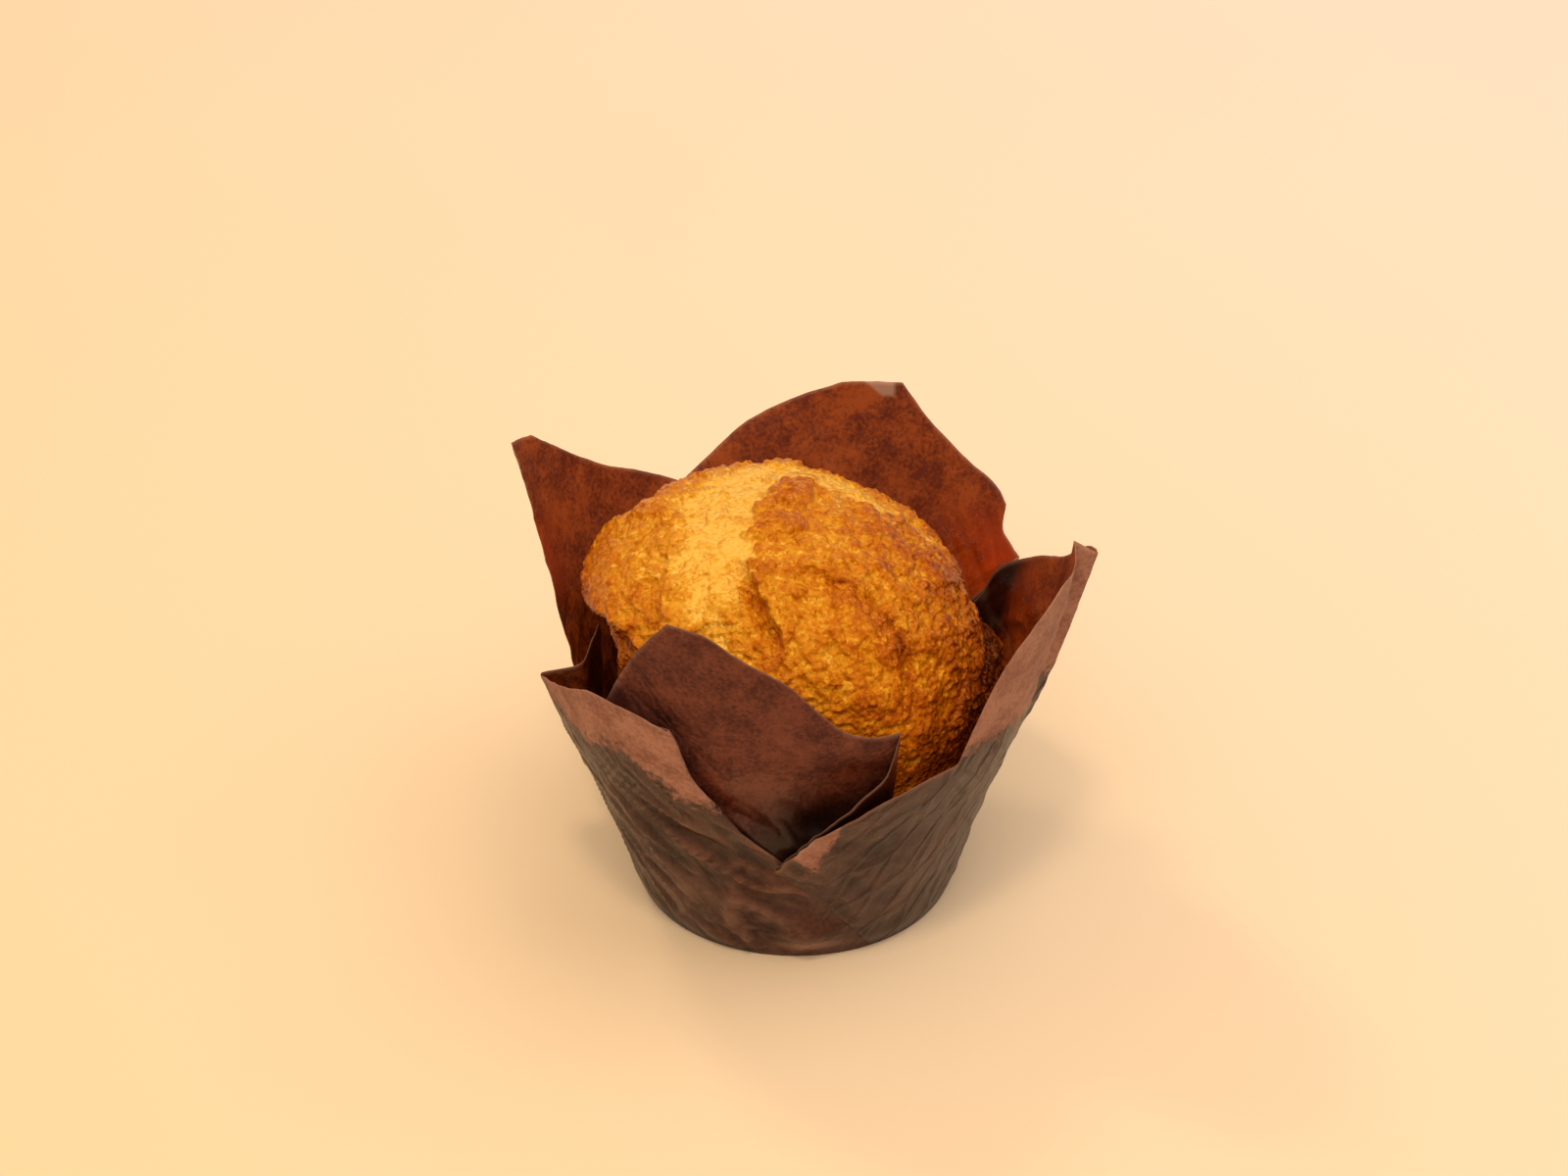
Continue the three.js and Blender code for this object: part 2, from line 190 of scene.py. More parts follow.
@dataclass
class NodeSheet:
    """A material's node tree under construction.

    Args:
        name: Name of the material.
    """

    name: str
    material: bpy.types.Material = field(init=False)

    def __post_init__(self) -> None:
        """Starts the material with an empty node tree."""
        self.material = bpy.data.materials.new(self.name)
        self.material.use_nodes = True
        self.material.node_tree.nodes.clear()

    def add(self, kind: str, inputs: dict | list | tuple = (), outlet: str | int = 0,
            **settings: object) -> bpy.types.NodeSocket | None:
        """Adds a node with its settings and links.

        Args:
            kind: Type name of the node, without the shader prefix.
            inputs: What the inputs take, in order or by name or number. Each is a socket to
                join, an sRGB hex colour or a plain value.
            outlet: Name or number of the output that is wanted.
            settings: Properties of the node itself.

        Returns:
            The wanted output, or None if the node has no output.
        """
        tree = self.material.node_tree
        node = tree.nodes.new("ShaderNode" + kind)
        for key, value in settings.items():
            setattr(node, key, value)
        named = inputs if isinstance(inputs, dict) else dict(enumerate(inputs))
        for key, value in named.items():
            if isinstance(value, bpy.types.NodeSocket):
                tree.links.new(value, node.inputs[key])
            else:
                node.inputs[key].default_value = linear(value) if isinstance(value, str) else value
        return node.outputs[outlet] if len(node.outputs) else None


def per_mm(size: float) -> float:
    """Scale of a pattern whose swellings or cells are size millimetres wide."""
    return 1 / (size * MILLIMETRE)


@dataclass(frozen=True)
class GoldenCrust:
    """Moist egg-rich crust, baked until it is golden and browned where it stood proud.

    The grains glisten over colours that run from pale crumb to dark brown.

    Args:
        browning_and_shade: How far the crust has browned, with its painted shade, from 0 to 1, and
            the sRGB hex colour of each stop, pale to dark.
        patch: Width of the browned patches, in millimetres.
        speck: Width of the browned specks, in millimetres.
        glint_loop: Width of the loops of the painted glints, in millimetres.
        glint_loop_field: Width of the areas that have or lack painted glints, in millimetres.
        glint: Width of the wet spots, in millimetres.
        crumb: Width of the crumbs, in millimetres.
        crumb_height: Height of the crumbs, in millimetres.
        speck_height: Height of the specks, in millimetres.
        gloss: Roughness from the wettest spot to the driest.
        warm_gloss: Tint of the shine, which butter turns golden.
    """

    browning_and_shade: tuple[tuple[float, str], ...] = (
        (0.0, "#E6AC45"), (0.2, "#CD8A1B"), (0.42, "#BD6C07"),
        (0.62, "#A64E04"), (0.82, "#7A3002"), (1.0, "#381101"))
    patch: float = 2.4
    speck: float = 0.7
    glint_loop: float = 1.1
    glint_loop_field: float = 1.6
    glint: float = 0.6
    crumb: float = 1.05
    crumb_height: float = 0.6
    speck_height: float = 0.4
    gloss: tuple[float, float] = (0.12, 0.4)
    warm_gloss: str = "#FFC26A"

    def material(self) -> bpy.types.Material:
        """Baked crust, whose degree of baking, with painted shade and light, is read from the mesh
        and broken up by grain.

        Returns:
            The finished material.
        """
        sheet = NodeSheet("baked_sugar_crust")
        place = sheet.add("TexCoord", outlet="Object")
        # mottling: how far each patch and each speck of the top has browned
        patches = sheet.add("TexNoise", {"Vector": place, "Scale": per_mm(self.patch),
                                         "Detail": 4.0, "Roughness": 0.55})
        patches = sheet.add("MapRange", [patches, 0.3, 0.7, -0.13, 0.13])
        specks = sheet.add("TexNoise", {"Vector": place, "Scale": per_mm(self.speck),
                                        "Detail": 3.0, "Roughness": 0.65})
        specks = sheet.add("MapRange", [specks, 0.32, 0.68, -0.12, 0.12])
        mottling = sheet.add("Math", [patches, specks], operation="ADD")
        bake_and_shade = sheet.add("Attribute", outlet="Fac", attribute_name="bake_and_shade")
        bake_and_shade = sheet.add("Math", [bake_and_shade, mottling], operation="ADD")
        # painted glints: short pale squiggly lines, 1 to 2 mm long, lighten the colour on the
        # edges of the crumbs
        loops = sheet.add("TexNoise", {"Vector": place, "Scale": per_mm(self.glint_loop),
                                       "Detail": 1.0, "Roughness": 0.55})
        off_line = sheet.add("Math", [loops, 0.5], operation="SUBTRACT")
        off_line = sheet.add("Math", [off_line, 0.0], operation="ABSOLUTE")
        lines = sheet.add("MapRange", [off_line, 0.02, 0.08, 1.0, 0.0])
        glinting_area = sheet.add("TexNoise", {"Vector": place, "Scale": per_mm(self.glint_loop_field),
                                         "Detail": 1.0, "Roughness": 0.55})
        glinting_area = sheet.add("MapRange", [glinting_area, 0.48, 0.6, 0.0, 0.24])
        painted_glints = sheet.add("Math", [lines, glinting_area], operation="MULTIPLY")
        bake_and_shade = sheet.add("Math", [bake_and_shade, painted_glints], operation="SUBTRACT")
        colour = sheet.add("ValToRGB", [bake_and_shade], "Color")
        stops = colour.node.color_ramp.elements
        while len(stops) < len(self.browning_and_shade):
            stops.new(0.5)
        for stop, (position, code) in zip(stops, self.browning_and_shade):
            stop.position, stop.color = position, linear(code)
        # wet grains catch the light in small points, the crumb between them does not
        wet = sheet.add("TexNoise", {"Vector": place, "Scale": per_mm(self.glint),
                                     "Detail": 2.0, "Roughness": 0.55})
        shine = sheet.add("MapRange", [wet, 0.38, 0.62, *self.gloss])
        crumbs = sheet.add("TexVoronoi", {"Vector": place, "Scale": per_mm(self.crumb),
                                          "Randomness": 1.0}, "Distance", feature="F1")
        relief = sheet.add("Bump", {"Height": crumbs, "Strength": 0.75,
                                    "Distance": self.crumb_height * MILLIMETRE})
        grain = sheet.add("TexNoise", {"Vector": place, "Scale": per_mm(self.speck),
                                       "Detail": 3.0, "Roughness": 0.6})
        relief = sheet.add("Bump", {"Height": grain, "Strength": 0.8, "Normal": relief,
                                    "Distance": self.speck_height * MILLIMETRE})
        # light goes a short way into moist crumb and comes out warmer; IOR of a buttery glaze
        shader = sheet.add("BsdfPrincipled", {
            "Base Color": colour, "Roughness": shine, "Normal": relief,
            "Subsurface Weight": 0.06, "Subsurface Scale": 0.002,
            "Subsurface Radius": (1.0, 0.4, 0.1), "IOR": 1.42,
            "Specular Tint": self.warm_gloss}, "BSDF")
        sheet.add("OutputMaterial", {"Surface": shader})
        return sheet.material


@dataclass(frozen=True)
class BakingPaper:
    """Brown greaseproof paper, pressed in a mould: dry and fibrous above, soaked below.

    It turns from matt reddish brown to dark satin where butter has soaked it. Each pair of
    colours is sRGB hex, from the darker to the lighter of its mottling.

    Args:
        dry: Colours of dry paper.
        wet: Colours of soaked paper.
        ruddy: Colours of the front petal.
        food_side: Colours of the side that faces the muffin.
        glow: Colour where light comes through the sheet.
        pocket_shade: Colour of the painted shade in the pockets between the pleats.
        worn_and_highlit: Colour of pale fibre on cut edges and the folded tip, and of the painted
            highlight on creases and the low ledge.
        fibre: Width of the fibres' mottling, in millimetres, coarse enough to show.
        cloud: Width of the cloudy mottling, in millimetres.
        clump: Width of the clumps that the stain follows, in millimetres.
        wrinkle: Width of the small wrinkles, in millimetres.
        facet: Width of the flat facets between sharp creases, in millimetres.
        facet_middle: Distance of the facets' line of symmetry from x = 0, in millimetres.
        fibre_height: Height of the fibres, in millimetres.
        wrinkle_height: Height of the wrinkles, in millimetres.
        crease_height: Height of the sharp creases, in millimetres.
        matt: Roughness of dry paper.
        satin: Roughness of soaked paper.
    """

    dry: tuple[str, str] = ("#7B4D3E", "#9E6F5B")
    wet: tuple[str, str] = ("#2B160F", "#42261B")
    ruddy: tuple[str, str] = ("#42170D", "#6A3624")
    food_side: tuple[str, str] = ("#5C1D03", "#92400F")
    glow: str = "#A53505"
    pocket_shade: str = "#140602"
    worn_and_highlit: str = "#9A705A"
    fibre: float = 0.7
    cloud: float = 6.0
    clump: float = 2.2
    wrinkle: float = 4.5
    facet: float = 4.5
    facet_middle: float = 4.0
    fibre_height: float = 0.05
    wrinkle_height: float = 0.25
    crease_height: float = 0.4
    matt: float = 0.72
    satin: float = 0.36

    def material(self) -> bpy.types.Material:
        """Baking paper, whose stains, glow and wear are read from the mesh.

        Returns:
            The finished material.
        """
        sheet = NodeSheet("pressed_brown_baking_paper")
        place = sheet.add("TexCoord", outlet="Object")
        stored = {name: sheet.add("Attribute", outlet="Fac", attribute_name=name)
                  for name in ("soak", "ruddy", "glow", "inside", "pocket_shade", "wear_and_highlight")}
        # the ragged edge of the stain follows clumps of fibre
        ragged = sheet.add("TexNoise", {"Vector": place, "Scale": per_mm(self.clump),
                                        "Detail": 6.0, "Roughness": 0.75})
        ragged = sheet.add("MapRange", [ragged, 0.3, 0.7, -0.3, 0.3])
        soaked = sheet.add("Math", [stored["soak"], ragged], operation="ADD")
        soaked = sheet.add("MapRange", [soaked, 0.42, 0.6, 0.0, 1.0])
        fibres = sheet.add("TexNoise", {"Vector": place, "Scale": per_mm(self.fibre),
                                        "Detail": 5.0, "Roughness": 0.7})
        clouds = sheet.add("TexNoise", {"Vector": place, "Scale": per_mm(self.cloud),
                                        "Detail": 4.0, "Roughness": 0.6})
        mottled = sheet.add("Math", [fibres, clouds], operation="ADD")
        mottled = sheet.add("MapRange", [mottled, 0.84, 1.16, 0.0, 1.0])
        dry, wet, ruddy, food_side = (
            sheet.add("Mix", {MIX_SHARE: mottled, MIX_FROM: darker, MIX_TO: lighter},
                      MIX_RESULT, data_type="RGBA")
            for darker, lighter in (self.dry, self.wet, self.ruddy, self.food_side))
        outside = sheet.add("Mix", {MIX_SHARE: soaked, MIX_FROM: dry, MIX_TO: wet},
                            MIX_RESULT, data_type="RGBA")
        # the front petal has drunk fat evenly, so it is a deeper and redder brown
        outside = sheet.add("Mix", {MIX_SHARE: stored["ruddy"], MIX_FROM: outside,
                                    MIX_TO: ruddy}, MIX_RESULT, data_type="RGBA")
        # the food side glows red where light comes through
        inside = sheet.add("Mix", {MIX_SHARE: stored["glow"], MIX_FROM: food_side,
                                   MIX_TO: self.glow}, MIX_RESULT, data_type="RGBA")
        colour = sheet.add("Mix", {MIX_SHARE: stored["inside"], MIX_FROM: outside,
                                   MIX_TO: inside}, MIX_RESULT, data_type="RGBA")
        # painted shade: the pockets between the pleats, where little light gets in, are painted
        # near black
        colour = sheet.add("Mix", {MIX_SHARE: stored["pocket_shade"], MIX_FROM: colour,
                                   MIX_TO: self.pocket_shade}, MIX_RESULT, data_type="RGBA")
        # pale cut edges and folded tip, and painted highlight on the creases and the ledge
        bare_and_highlit = sheet.add("Math", [stored["wear_and_highlight"], 0.4], operation="MULTIPLY")
        colour = sheet.add("Mix", {MIX_SHARE: bare_and_highlit, MIX_FROM: colour, MIX_TO: self.worn_and_highlit},
                           MIX_RESULT, data_type="RGBA")
        shine = sheet.add("MapRange", [soaked, 0.0, 1.0, self.matt, self.satin])
        relief = sheet.add("Bump", {"Height": fibres, "Strength": 0.35,
                                    "Distance": self.fibre_height * MILLIMETRE})
        upright = sheet.add("Mapping", {"Vector": place, "Scale": (1.0, 1.0, 0.5)})
        wrinkles = sheet.add("TexNoise", {"Vector": upright, "Scale": per_mm(self.wrinkle),
                                          "Detail": 3.0, "Roughness": 0.5})
        wrinkles = sheet.add("MapRange", [wrinkles, 0.38, 0.5, 0.0, 1.0])
        relief = sheet.add("Bump", {"Height": wrinkles, "Strength": 0.4, "Normal": relief,
                                    "Distance": self.wrinkle_height * MILLIMETRE})
        # soaked paper has set in small flat facets between sharp creases that fan out from
        # the fold at the front
        axes = sheet.add("SeparateXYZ", [place]).node.outputs
        across = sheet.add("Math", [axes["X"], self.facet_middle * MILLIMETRE],
                           operation="SUBTRACT")
        mirrored = sheet.add("Math", [across, 0.0], operation="ABSOLUTE")
        fan = sheet.add("CombineXYZ", [mirrored, axes["Y"], axes["Z"]])
        fan = sheet.add("Mapping", {"Vector": fan, "Rotation": (0.0, 0.6, 0.0),
                                    "Scale": (1.0, 1.0, 3.0)}, vector_type="TEXTURE")
        creases = sheet.add("TexVoronoi", {"Vector": fan, "Scale": per_mm(self.facet)},
                            "Distance", feature="DISTANCE_TO_EDGE")
        creases = sheet.add("MapRange", [creases, 0.0, 0.16, 1.0, 0.0])
        set_hard = sheet.add("Math", [soaked, stored["ruddy"]], operation="SUBTRACT")
        ridges = sheet.add("Math", [creases, set_hard], operation="MULTIPLY")
        relief = sheet.add("Bump", {"Height": ridges, "Strength": 0.6, "Normal": relief,
                                    "Distance": self.crease_height * MILLIMETRE})
        # IOR of waxed fibre, with a weak shine because the sheet is porous
        shader = sheet.add("BsdfPrincipled", {
            "Base Color": colour, "Roughness": shine, "Normal": relief, "IOR": 1.42,
            "Specular IOR Level": 0.33}, "BSDF")
        sheet.add("OutputMaterial", {"Surface": shader})
        return sheet.material


@dataclass(frozen=True)
class Backdrop:
    """Matt cream backdrop, with painted light that pales it from the near left to the far right.

    Args:
        near: sRGB hex colour at the near left, where the painted light is dimmest.
        far: sRGB hex colour at the far right, where the painted light is brightest.
        fade: Where the painted fall-off starts and ends, in metres.
        slant: Share of the depth that counts towards the fade.
    """

    near: str = "#DFB882"
    far: str = "#E4D3C2"
    fade: tuple[float, float] = (-0.4, 0.55)
    slant: float = 0.7

    def material(self) -> bpy.types.Material:
        """Matt cream paint without any shine.

        Returns:
            The finished material.
        """
        sheet = NodeSheet("matt_cream_backdrop")
        axes = sheet.add("SeparateXYZ", [sheet.add("TexCoord", outlet="Object")]).node.outputs
        # painted light: the colour pales towards the far right and the back
        depth = sheet.add("Math", [axes["Y"], self.slant], operation="MULTIPLY")
        along = sheet.add("Math", [axes["X"], depth], operation="ADD")
        share = sheet.add("MapRange", [along, *self.fade, 0.0, 1.0])
        painted_falloff = sheet.add("Mix", {MIX_SHARE: share, MIX_FROM: self.near, MIX_TO: self.far},
                         MIX_RESULT, data_type="RGBA")
        shader = sheet.add("BsdfPrincipled", {"Base Color": painted_falloff, "Roughness": 0.9}, "BSDF")
        sheet.add("OutputMaterial", {"Surface": shader})
        return sheet.material


# ------------------------------------------------------------------ the paper cup
FOOT_RADIUS = 26.0


def wall_radius(z: np.ndarray | float) -> np.ndarray | float:
    """Radius of the cup's wall at a height: flared, and straighter towards the rim."""
    return FOOT_RADIUS + 0.295 * z + 0.0012 * z ** 2 - 0.00002 * z ** 3


class Turn(Enum):
    """How the rim goes through a station."""

    EASY = 0
    CORNER = 1
    FOLD = 2


@dataclass(frozen=True)
class Station:
    """A line of the sheet from the foot circle to the rim.

    Args:
        foot: Azimuth at the foot, in degrees.
        at: Azimuth at the rim, in degrees.
        r: Radius at the rim, in millimetres.
        z: Height of the rim, in millimetres.
        layer: How many sheets lie inside this one.
        turn: How the rim goes through the station.
    """

    foot: float
    at: float
    r: float
    z: float
    layer: float
    turn: Turn = Turn.EASY

    def row(self) -> np.ndarray:
        """The station's five numbers as an array."""
        return np.array([self.foot, self.at, self.r, self.z, self.layer])

    def rim(self) -> np.ndarray:
        """The station's point on the rim."""
        angle = np.radians(self.at)
        return np.array([self.r * np.cos(angle), self.r * np.sin(angle), self.z])


RIM = (
    # right petal, outermost at the front fold and innermost at the rear one
    Station(297.5, 264.6, 34.8, 23.7, 2, Turn.FOLD),
    Station(301, 272, 36.8, 30, 2),
    Station(307, 285, 39.1, 37.6, 2),
    Station(314, 297, 40.3, 41.5, 1.8),
    Station(320, 305.4, 40.1, 42.4, 1.7, Turn.CORNER),
    Station(324, 308.8, 43.1, 53.4, 1.5),
    Station(329, 313, 44.7, 61, 1.4),
    Station(335, 320, 45.9, 66.5, 1.2),
    Station(341, 328, 46, 69.3, 1.1),
    Station(346, 339.5, 43.4, 70.2, 1, Turn.CORNER),
    Station(350, 342.5, 46.8, 67.4, 1, Turn.CORNER),
    Station(358, 356, 45, 62.5, 0.6),
    Station(366, 368, 43, 55.5, 0.2),
    Station(376, 383, 41.2, 49.5, 0),
    Station(384, 392, 40, 44.5, 0),
    Station(390, 397, 37.7, 37.2, 0),
    Station(396, 410, 35.5, 26, 0, Turn.FOLD),
    # rear petal, outside its neighbours on both sides
    Station(398, 389.9, 41.4, 46.6, 2, Turn.FOLD),
    Station(400, 393.6, 41.7, 47.4, 2),
    Station(402, 397.2, 42.1, 48.8, 2),
    Station(403.5, 398.1, 42.6, 50.6, 2),
    Station(405, 398.4, 43.3, 53.1, 2, Turn.CORNER),
    Station(408.5, 402.9, 44, 55.2, 2),
    Station(412.5, 410, 44.4, 57, 2),
    Station(418, 420.4, 45.5, 61.8, 2),
    Station(426, 427.8, 46.7, 67.5, 2, Turn.CORNER),
    Station(438, 440.3, 46.5, 66.5, 2, Turn.CORNER),
    Station(448, 450.5, 45.9, 63.2, 2),
    Station(456, 460.2, 45, 59.6, 2),
    Station(464, 469.2, 43.8, 54.2, 2),
    Station(472, 488, 41.5, 44, 2, Turn.FOLD),
    # left petal, with its long steep edge on the front side
    Station(474, 458, 37.5, 36, 0, Turn.FOLD),
    Station(478, 467, 40, 46, 0),
    Station(484, 476.8, 41.9, 52.2, 0),
    Station(490, 487, 42.8, 56, 0),
    Station(496, 497.8, 43.7, 60, 0),
    Station(502, 511, 45.2, 67.2, 0),
    Station(507, 518, 45.9, 71.5, 0, Turn.CORNER),
    Station(513, 526.5, 46.3, 73.3, 0, Turn.CORNER),
    Station(519, 525.5, 45.3, 67.5, 0),
    Station(525, 525, 43.8, 60, 0),
    Station(532, 525.6, 41.4, 50.6, 0),
    Station(539, 527.2, 39.2, 42.6, 0),
    Station(545, 531, 36.8, 34.6, 0, Turn.CORNER),
    # inner pleat tucked against the side of the muffin
    Station(546.5, 534, 31.6, 38, 0),
    Station(548, 541, 31.3, 46.5, 0),
    Station(549.5, 549, 32.8, 45.8, 0),
    Station(551, 555.5, 35, 44.6, 0),
    # left front panel, outermost, from the pleat to its own fold
    Station(553, 556, 40.6, 44.3, 0.6, Turn.CORNER),
    Station(571, 572, 42, 49.5, 1.2),
    Station(588, 582.7, 43.5, 53.4, 1.7),
    Station(603, 590.3, 44, 55.4, 2),
    Station(624, 599, 43.8, 54.5, 2),
    Station(645, 605.5, 43.4, 52.8, 2, Turn.FOLD),
    Station(646.5, 588.5, 42.8, 52, 0, Turn.FOLD),
    # front petal, the innermost sheet
    Station(647.5, 593.4, 43.3, 58.4, 0),
    Station(648.5, 600.5, 45, 66.2, 0),
    Station(650, 606.5, 45.8, 71.6, 0, Turn.CORNER),
    Station(651, 612.5, 45.7, 70.9, 0),
    Station(652, 619.6, 45.1, 66.9, 0),
    Station(653, 627.7, 44.3, 62.8, 0),
    Station(654, 634.6, 42.9, 56.7, 0),
    Station(655, 640.5, 41.9, 52.4, 0),
    Station(656, 647.4, 41.4, 50.8, 0),
    Station(656.6, 651.3, 41.5, 51, 0, Turn.FOLD),
    # sheet folded back behind the right petal, its edge bowed down to that petal's rim
    Station(656.7, 649, 40.6, 43.3, 0.64),
    Station(656.9, 643, 39.3, 38.5, 0.88),
    Station(657.1, 637, 38, 33.7, 1.12),
    Station(657.3, 630.5, 36.4, 28.7, 1.36),
)


# column of the layer in a station's row
LAYER_COLUMN = 4
# where the sheets of the cup start and end, by the foot azimuths of their stations
RIGHT_PETAL_FRONT_END = 340
RIGHT_INNER_SIDE = (352, 397)
TUCKED_PLEAT = (530, 555)
LEFT_PANEL_START, LEFT_PANEL_END = 553, 645.01
FRONT_PETAL_START, FRONT_PETAL_FULL, FRONT_PETAL_END = 646.4, 646.6, 656.61
FOLDED_BACK_START, FOLDED_BACK_FULL = 656.5, 656.7


def easy_slopes(knots: np.ndarray, values: np.ndarray) -> np.ndarray:
    """Slopes of a curve through the values that never overshoots between them.

    Args:
        knots: Distances along the curve, rising.
        values: One row of values for each knot.

    Returns:
        One row of slopes for each knot.
    """
    secants = np.diff(values, axis=0) / np.diff(knots)[:, None]
    slopes = np.empty_like(values)
    slopes[0], slopes[-1] = secants[0], secants[-1]
    before, after = secants[:-1], secants[1:]
    total = np.where(before * after > 0, before + after, 1.0)
    slopes[1:-1] = np.where(before * after > 0, 2 * before * after / total, 0.0)
    return slopes


def along_cubic(knots: np.ndarray, values: np.ndarray, spots: np.ndarray) -> np.ndarray:
    """Values of the easy curve at the given spots.

    Args:
        knots: Distances along the curve, rising.
        values: One row of values for each knot.
        spots: Distances along the curve where the values are wanted.

    Returns:
        One row of values for each spot.
    """
    slopes = easy_slopes(knots, values)
    i = np.clip(np.searchsorted(knots, spots, side="right") - 1, 0, len(knots) - 2)
    h = (knots[i + 1] - knots[i])[:, None]
    t = (spots - knots[i])[:, None] / h
    return (values[i] * (2 * t ** 3 - 3 * t ** 2 + 1) + slopes[i] * h * (t ** 3 - 2 * t ** 2 + t)
            + values[i + 1] * (3 * t ** 2 - 2 * t ** 3) + slopes[i + 1] * h * (t ** 3 - t ** 2))


@dataclass
class TulipCup:
    """The square of baking paper, pleated into a cup with four petals.

    Args:
        stations: Lines of the sheet in order round the rim.
        column_step: Spacing of mesh columns along the rim, in millimetres.
        wall_rows: Rows of faces from the foot to the rim.
        floor_rings: Rings of faces from the middle of the bottom to the foot.
        thickness: Thickness of the paper, in millimetres.
        layer_pitch: Radial step from one pleat layer to the next near the rim, in millimetres.
        tight: The same step low down, where the pleats are pressed flat.
        fold_lap: Layers between a folded-back sheet and its neighbour at the fold.
        long_crease: Spacing in millimetres and sharpness of the long creases.
        short_crease: The same for the short creases between them.
        cross_crease: The same for the creases that run the other way.
        noise: Noise that lays out the crumples.
    """

    stations: tuple[Station, ...] = RIM
    column_step: float = 0.85
    wall_rows: int = 100
    floor_rings: int = 9
    thickness: float = 0.12
    layer_pitch: float = 0.9
    tight: float = 0.09
    fold_lap: float = 0.4
    long_crease: tuple[float, float] = (6.5, 3.0)
    short_crease: tuple[float, float] = (3.6, 2.6)
    cross_crease: tuple[float, float] = (8.0, 4.0)
    noise: SolidNoise = field(default_factory=lambda: SolidNoise(11))

    def columns(self) -> np.ndarray:
        """Spaces the mesh columns evenly round the whole rim.

        Returns:
            Rows of foot, at, r, z and layer, one for each column.
        """
        first = self.stations[0]
        closing = Station(first.foot + 360, first.at + 360, first.r, first.z, first.layer,
                          Turn.FOLD)
        loop = [*self.stations, closing]
        parts, start = [], 0
        for i in range(1, len(loop)):
            if loop[i].turn is Turn.EASY:
                continue
            run = loop[start:i + 1]
            values = np.array([station.row() for station in run])
            # a sheet that runs backwards between two folds keeps clear of its neighbours
            if run[-1].at < run[0].at and run[0].turn is Turn.FOLD is run[-1].turn:
                lap = self.fold_lap * np.sign(run[1].layer - run[0].layer)
                values[0, LAYER_COLUMN] += lap
                values[1, LAYER_COLUMN] -= lap
            gaps = [np.linalg.norm(b.rim() - a.rim()) for a, b in zip(run[:-1], run[1:])]
            knots = np.concatenate([[0.0], np.cumsum(gaps)])
            count = max(3, round(knots[-1] / self.column_step))
            rows = along_cubic(knots, values, np.linspace(0, knots[-1], count + 1))
            shared = loop[start].turn is Turn.CORNER
            parts.append(rows[1:] if shared else rows)
            start = i
        return np.concatenate(parts)

    def crumple(self, place: np.ndarray, azimuth: np.ndarray, z: np.ndarray
                ) -> tuple[np.ndarray, np.ndarray, np.ndarray]:
        """How far each point of the wall stands out, the same for every layer there.

        Args:
            place: Points on the plain wall, without layers or lean.
            azimuth: Their azimuths in degrees.
            z: Their heights in millimetres.

        Returns:
            The outward shift in millimetres, the painted highlight on the crease ridges and the
            ledge, and the painted shade in the hollows between them.
        """
        # the front left was gripped hardest, and the petals above 52 mm hardly at all
        front_left = bell(azimuth, 250, 27) * (1 - ramp(z, 28, 42)) * ramp(z, 0, 5)
        body = (1 - ramp(z, 36, 52)) * ramp(z, 0, 6)
        # the sheet lies flatter across the right front
        calm = 1 - 0.7 * bell(azimuth, 297, 27)
        # creases follow steep helices, and a few cross them the other way
        slant = np.radians(azimuth + 1.5 * z)
        radius = np.hypot(place[..., 0], place[..., 1])
        helix = np.stack([radius * np.cos(slant), radius * np.sin(slant), z * 0.2], -1)
        counter = np.radians(azimuth - 1.1 * z)
        cross = np.stack([radius * np.cos(counter), radius * np.sin(counter), z * 0.4 + 50], -1)
        broad = calm * (self.noise.at(place, 21) * 0.5 + self.noise.at(place + 40, 11) * 0.18)
        bent = helix + 1.1 * self.noise.at(place + 80, 11)[..., None]
        long_folds = self.noise.creases(bent, *self.long_crease)
        short_folds = self.noise.creases(bent + 60, *self.short_crease)
        cross_folds = self.noise.creases(cross, *self.cross_crease)
        facets = np.abs(self.noise.at(bent + 15, 6)) + 0.4 * np.abs(self.noise.at(cross, 5))
        shift = broad * ramp(z, 0, 10)
        ridged = 1.1 * long_folds + 0.6 * short_folds + 0.7 * facets
        shift += front_left * (ridged - 0.75)
        shift += body * calm * (0.3 * long_folds + 0.18 * cross_folds + 0.4 * facets - 0.25)
        shift += calm * (0.14 * cross_folds + 0.2 * facets) * ramp(z, 30, 50)
        # one fold low down at the front, caught between the pleats, with a painted highlight on
        # its ledge
        swell = bell(azimuth, 275, 9)
        shift += 1.2 * swell * np.exp(-((z - 6.0) / 2.0) ** 2)
        ledge = swell * np.exp(-((z - 3.2) / 1.1) ** 4)
        # painted highlight: the crease ridges and the ledge are lightened
        wear_and_highlight = np.clip(front_left * (0.9 * long_folds ** 2 + 0.4 * short_folds ** 2)
                       + 0.3 * body * cross_folds ** 3 + 1.4 * ledge, 0, 1.5)
        # painted shade: the hollows between the front-left creases are darkened
        hollow = 0.7 * front_left * np.clip(1 - 1.1 * ridged, 0, 1)
        # the paper can't go more than 0.3 mm into the muffin's room, or 1 mm above its side
        outward, deepest = 0.12, -0.3 - 0.7 * ramp(z, 42, 52)
        return np.maximum(shift + outward, deepest), wear_and_highlight, hollow

    def sheet(self) -> dict[str, np.ndarray]:
        """Shapes the food side of the sheet.

        Returns:
            Grids of columns by rows: the points, and each number that the material reads.
        """
        foot, at, r, z_rim, layer = (c[:, None] for c in self.columns().T)
        ripple = np.stack([at * 0.7, r, z_rim], -1)
        z_rim = z_rim + 0.14 * self.noise.at(ripple, 5) + 0.1 * self.noise.at(ripple, 1.7)
        v = np.linspace(0, 1, self.wall_rows + 1)[None, :]
        z = self.thickness + (z_rim - self.thickness) * v
